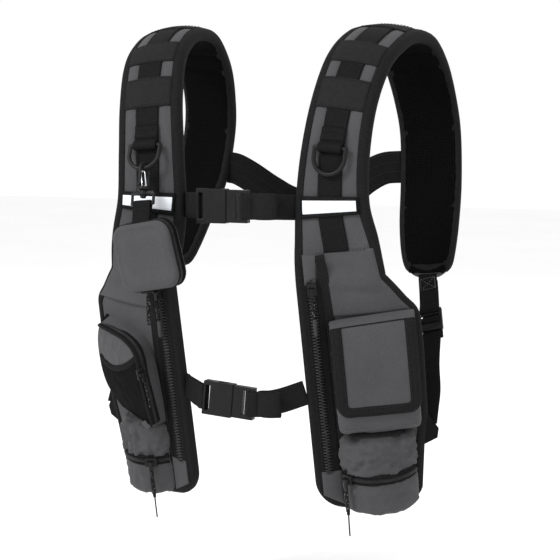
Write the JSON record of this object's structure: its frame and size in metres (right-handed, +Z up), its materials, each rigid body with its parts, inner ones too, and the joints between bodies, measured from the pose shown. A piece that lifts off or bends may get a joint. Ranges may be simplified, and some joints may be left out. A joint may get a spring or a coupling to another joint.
{
  "type": "binocular harness pack",
  "caption": "Vest-type field harness: padded shoulder loops with front pockets, zips, a flap pocket, a mesh pouch, side adjusters, buckled chest and waist straps and a pouch on a snap hook.",
  "frame": {"origin": "midway between the two shoulder loops, level with the underside of their pads at the top of the shoulders", "axes": "+X to the wearer's left, -Y forward, +Z up, in the pose in which it hangs when worn"},
  "size_m": [0.3902, 0.2898, 0.5257],
  "materials": {
    "fabric": "woven grey pack cloth over soft padding, with black binding",
    "mesh_lining": "black spacer mesh",
    "webbing": "ribbed black webbing",
    "pull_cord": "braided cord",
    "reflective_tape": "silver reflective tape",
    "plastic": "moulded black plastic",
    "gate_wire": "bright steel wire"
  },
  "bodies": {
    "harness": {"left_shoulder_pad": "fabric", "left_front_panel": "fabric", "left_pad_lining": "mesh_lining", "left_centre_webbing": "webbing", "left_cross_bands": "webbing", "left_reflective_strip": "reflective_tape", "left_front_zip": "plastic", "left_lower_pocket": "fabric", "left_flap_pocket": "fabric", "left_side_webbing": "webbing", "right_shoulder_pad": "fabric", "right_front_panel": "fabric", "right_pad_lining": "mesh_lining", "right_centre_webbing": "webbing", "right_cross_bands": "webbing", "right_reflective_strip": "reflective_tape", "right_front_zip": "plastic", "right_lower_pocket": "fabric", "right_mesh_pouch": "mesh_lining", "right_side_webbing": "webbing", "chest_buckle_female": "plastic", "chest_buckle_male": "plastic", "chest_strap_right": "webbing", "chest_strap_left": "webbing", "waist_buckle_female": "plastic", "waist_buckle_male": "plastic", "waist_strap_right": "webbing", "waist_strap_left": "webbing", "back_strap": "webbing"},
    "left_ring": {"left_d_ring": "plastic"},
    "right_ring": {"right_d_ring": "plastic"},
    "hook": {"snap_hook": "plastic"},
    "gate": {"snap_hook_gate": "gate_wire"},
    "swivel": {"swivel_loop": "plastic"},
    "pouch": {"hanging_pouch": "fabric"},
    "pouch_slider": {"hanging_pouch_slider": "plastic", "hanging_pouch_cord": "pull_cord"},
    "left_front_slider": {"left_front_zip_slider": "plastic"},
    "left_front_puller": {"left_front_zip_puller": "plastic", "left_front_zip_cord": "pull_cord"},
    "right_front_slider": {"right_front_zip_slider": "plastic"},
    "right_front_puller": {"right_front_zip_puller": "plastic", "right_front_zip_cord": "pull_cord"},
    "left_lower_slider": {"left_lower_zip_slider": "plastic"},
    "left_lower_puller": {"left_lower_zip_puller": "plastic", "left_lower_zip_cord": "pull_cord"},
    "right_lower_slider": {"right_lower_zip_slider": "plastic"},
    "right_lower_puller": {"right_lower_zip_puller": "plastic", "right_lower_zip_cord": "pull_cord"},
    "flap": {"left_pocket_flap": "fabric"},
    "mesh_slider": {"right_mesh_pouch_slider": "plastic"},
    "mesh_puller": {"right_mesh_pouch_puller": "plastic", "right_mesh_pouch_cord": "pull_cord"},
    "left_lock": {"left_ladder_lock": "plastic"},
    "right_lock": {"right_ladder_lock": "plastic"},
    "chest_upper_prong": {"chest_buckle_upper_prong": "plastic"},
    "chest_lower_prong": {"chest_buckle_lower_prong": "plastic"},
    "waist_upper_prong": {"waist_buckle_upper_prong": "plastic"},
    "waist_lower_prong": {"waist_buckle_lower_prong": "plastic"}
  },
  "joints": [
    {"name": "left_d_ring_swing", "type": "hinge", "parent": "harness", "child": "left_ring", "pos_m": [0.10118, -0.16857, -0.10634], "axis": [-0.9971, 0.0275, 0.0712], "range_deg": [0, 120]},
    {"name": "right_d_ring_swing", "type": "hinge", "parent": "harness", "child": "right_ring", "pos_m": [-0.10118, -0.16857, -0.10634], "axis": [-0.9971, -0.0275, -0.0712], "range_deg": [0, 100]},
    {"name": "hook_swing", "type": "hinge", "parent": "right_ring", "child": "hook", "pos_m": [-0.0957, -0.18082, -0.12881], "axis": [-1, 0, 0], "range_deg": [0, 60]},
    {"name": "gate_open", "type": "hinge", "parent": "hook", "child": "gate", "pos_m": [-0.09387, -0.18687, -0.14737], "axis": [-0.8485, 0.4728, -0.2376], "range_deg": [0, 17], "stiffness_Nm_per_rad": 0.01},
    {"name": "swivel_turn", "type": "hinge", "parent": "hook", "child": "swivel", "pos_m": [-0.09355, -0.18929, -0.1533], "axis": [-0.0824, 0.3256, 0.9419], "range_deg": [-12, 12]},
    {"name": "pouch_swing", "type": "hinge", "parent": "swivel", "child": "pouch", "pos_m": [-0.09257, -0.19319, -0.16461], "axis": [-0.9962, 0, -0.0872], "range_deg": [0, 60]},
    {"name": "pouch_zip_slide", "type": "slide", "parent": "pouch", "child": "pouch_slider", "axis": [0.9656, -0.1948, 0.172], "range_m": [0, 0.026]},
    {"name": "left_front_zip_slide", "type": "slide", "parent": "harness", "child": "left_front_slider", "axis": [0, 0.2588, -0.9659], "range_m": [0, 0.192]},
    {"name": "left_front_puller_swing", "type": "hinge", "parent": "left_front_slider", "child": "left_front_puller", "pos_m": [0.08644, -0.18021, -0.24722], "axis": [-0.9239, -0.3696, -0.099], "range_deg": [0, 150]},
    {"name": "right_front_zip_slide", "type": "slide", "parent": "harness", "child": "right_front_slider", "axis": [0, 0.2588, -0.9659], "range_m": [0, 0.182]},
    {"name": "right_front_puller_swing", "type": "hinge", "parent": "right_front_slider", "child": "right_front_puller", "pos_m": [-0.08644, -0.17762, -0.25688], "axis": [-0.9239, 0.3696, 0.099], "range_deg": [0, 75]},
    {"name": "left_lower_zip_slide", "type": "hinge", "parent": "harness", "child": "left_lower_slider", "pos_m": [0.12756, -0.09355, -0.43416], "axis": [0, -0.2588, 0.9659], "range_deg": [0, 96]},
    {"name": "left_lower_puller_swing", "type": "hinge", "parent": "left_lower_slider", "child": "left_lower_puller", "pos_m": [0.1065, -0.13618, -0.44559], "axis": [-0.9026, 0.4158, 0.1114], "range_deg": [0, 120]},
    {"name": "right_lower_zip_slide", "type": "hinge", "parent": "harness", "child": "right_lower_slider", "pos_m": [-0.12432, -0.09484, -0.43451], "axis": [0, 0.2588, -0.9659], "range_deg": [-12, 84]},
    {"name": "right_lower_puller_swing", "type": "hinge", "parent": "right_lower_slider", "child": "right_lower_puller", "pos_m": [-0.11454, -0.1342, -0.44505], "axis": [-0.9724, -0.2255, -0.0604], "range_deg": [0, 120]},
    {"name": "flap_open", "type": "hinge", "parent": "harness", "child": "flap", "pos_m": [0.13927, -0.14658, -0.26979], "axis": [-0.9239, -0.3696, -0.099], "range_deg": [0, 90]},
    {"name": "mesh_pouch_zip_slide", "type": "slide", "parent": "harness", "child": "mesh_slider", "axis": [0.042, 0.3552, -0.9339], "range_m": [0, 0.058]},
    {"name": "mesh_pouch_puller_swing", "type": "hinge", "parent": "mesh_slider", "child": "mesh_puller", "pos_m": [-0.1038, -0.1734, -0.34271], "axis": [-0.3804, -0.8586, -0.3437], "range_deg": [0, 110]},
    {"name": "left_lock_tilt", "type": "hinge", "parent": "harness", "child": "left_lock", "pos_m": [0.16, -0.026, -0.281], "axis": [-0.9685, -0.0493, -0.2439], "range_deg": [0, 35]},
    {"name": "right_lock_tilt", "type": "hinge", "parent": "harness", "child": "right_lock", "pos_m": [-0.16, -0.026, -0.281], "axis": [-0.9685, 0.0493, 0.2439], "range_deg": [0, 35]},
    {"name": "chest_upper_prong_squeeze", "type": "hinge", "parent": "harness", "child": "chest_upper_prong", "pos_m": [-0.0044, -0.174, -0.1565], "axis": [0, -1, 0], "range_deg": [0, 8], "stiffness_Nm_per_rad": 0.15},
    {"name": "chest_lower_prong_squeeze", "type": "hinge", "parent": "harness", "child": "chest_lower_prong", "pos_m": [-0.0044, -0.174, -0.1755], "axis": [0, -1, 0], "range_deg": [-8, 0], "stiffness_Nm_per_rad": 0.15},
    {"name": "waist_upper_prong_squeeze", "type": "hinge", "parent": "harness", "child": "waist_upper_prong", "pos_m": [-0.00158, -0.164, -0.35676], "axis": [0, -1, 0], "range_deg": [0, 8], "stiffness_Nm_per_rad": 0.15},
    {"name": "waist_lower_prong_squeeze", "type": "hinge", "parent": "harness", "child": "waist_lower_prong", "pos_m": [-0.00324, -0.164, -0.37569], "axis": [0, -1, 0], "range_deg": [-8, 0], "stiffness_Nm_per_rad": 0.15}
  ],
  "couplings": [
    {"joint": "chest_lower_prong_squeeze", "follows": "chest_upper_prong_squeeze", "ratio": -1},
    {"joint": "waist_lower_prong_squeeze", "follows": "waist_upper_prong_squeeze", "ratio": -1}
  ]
}
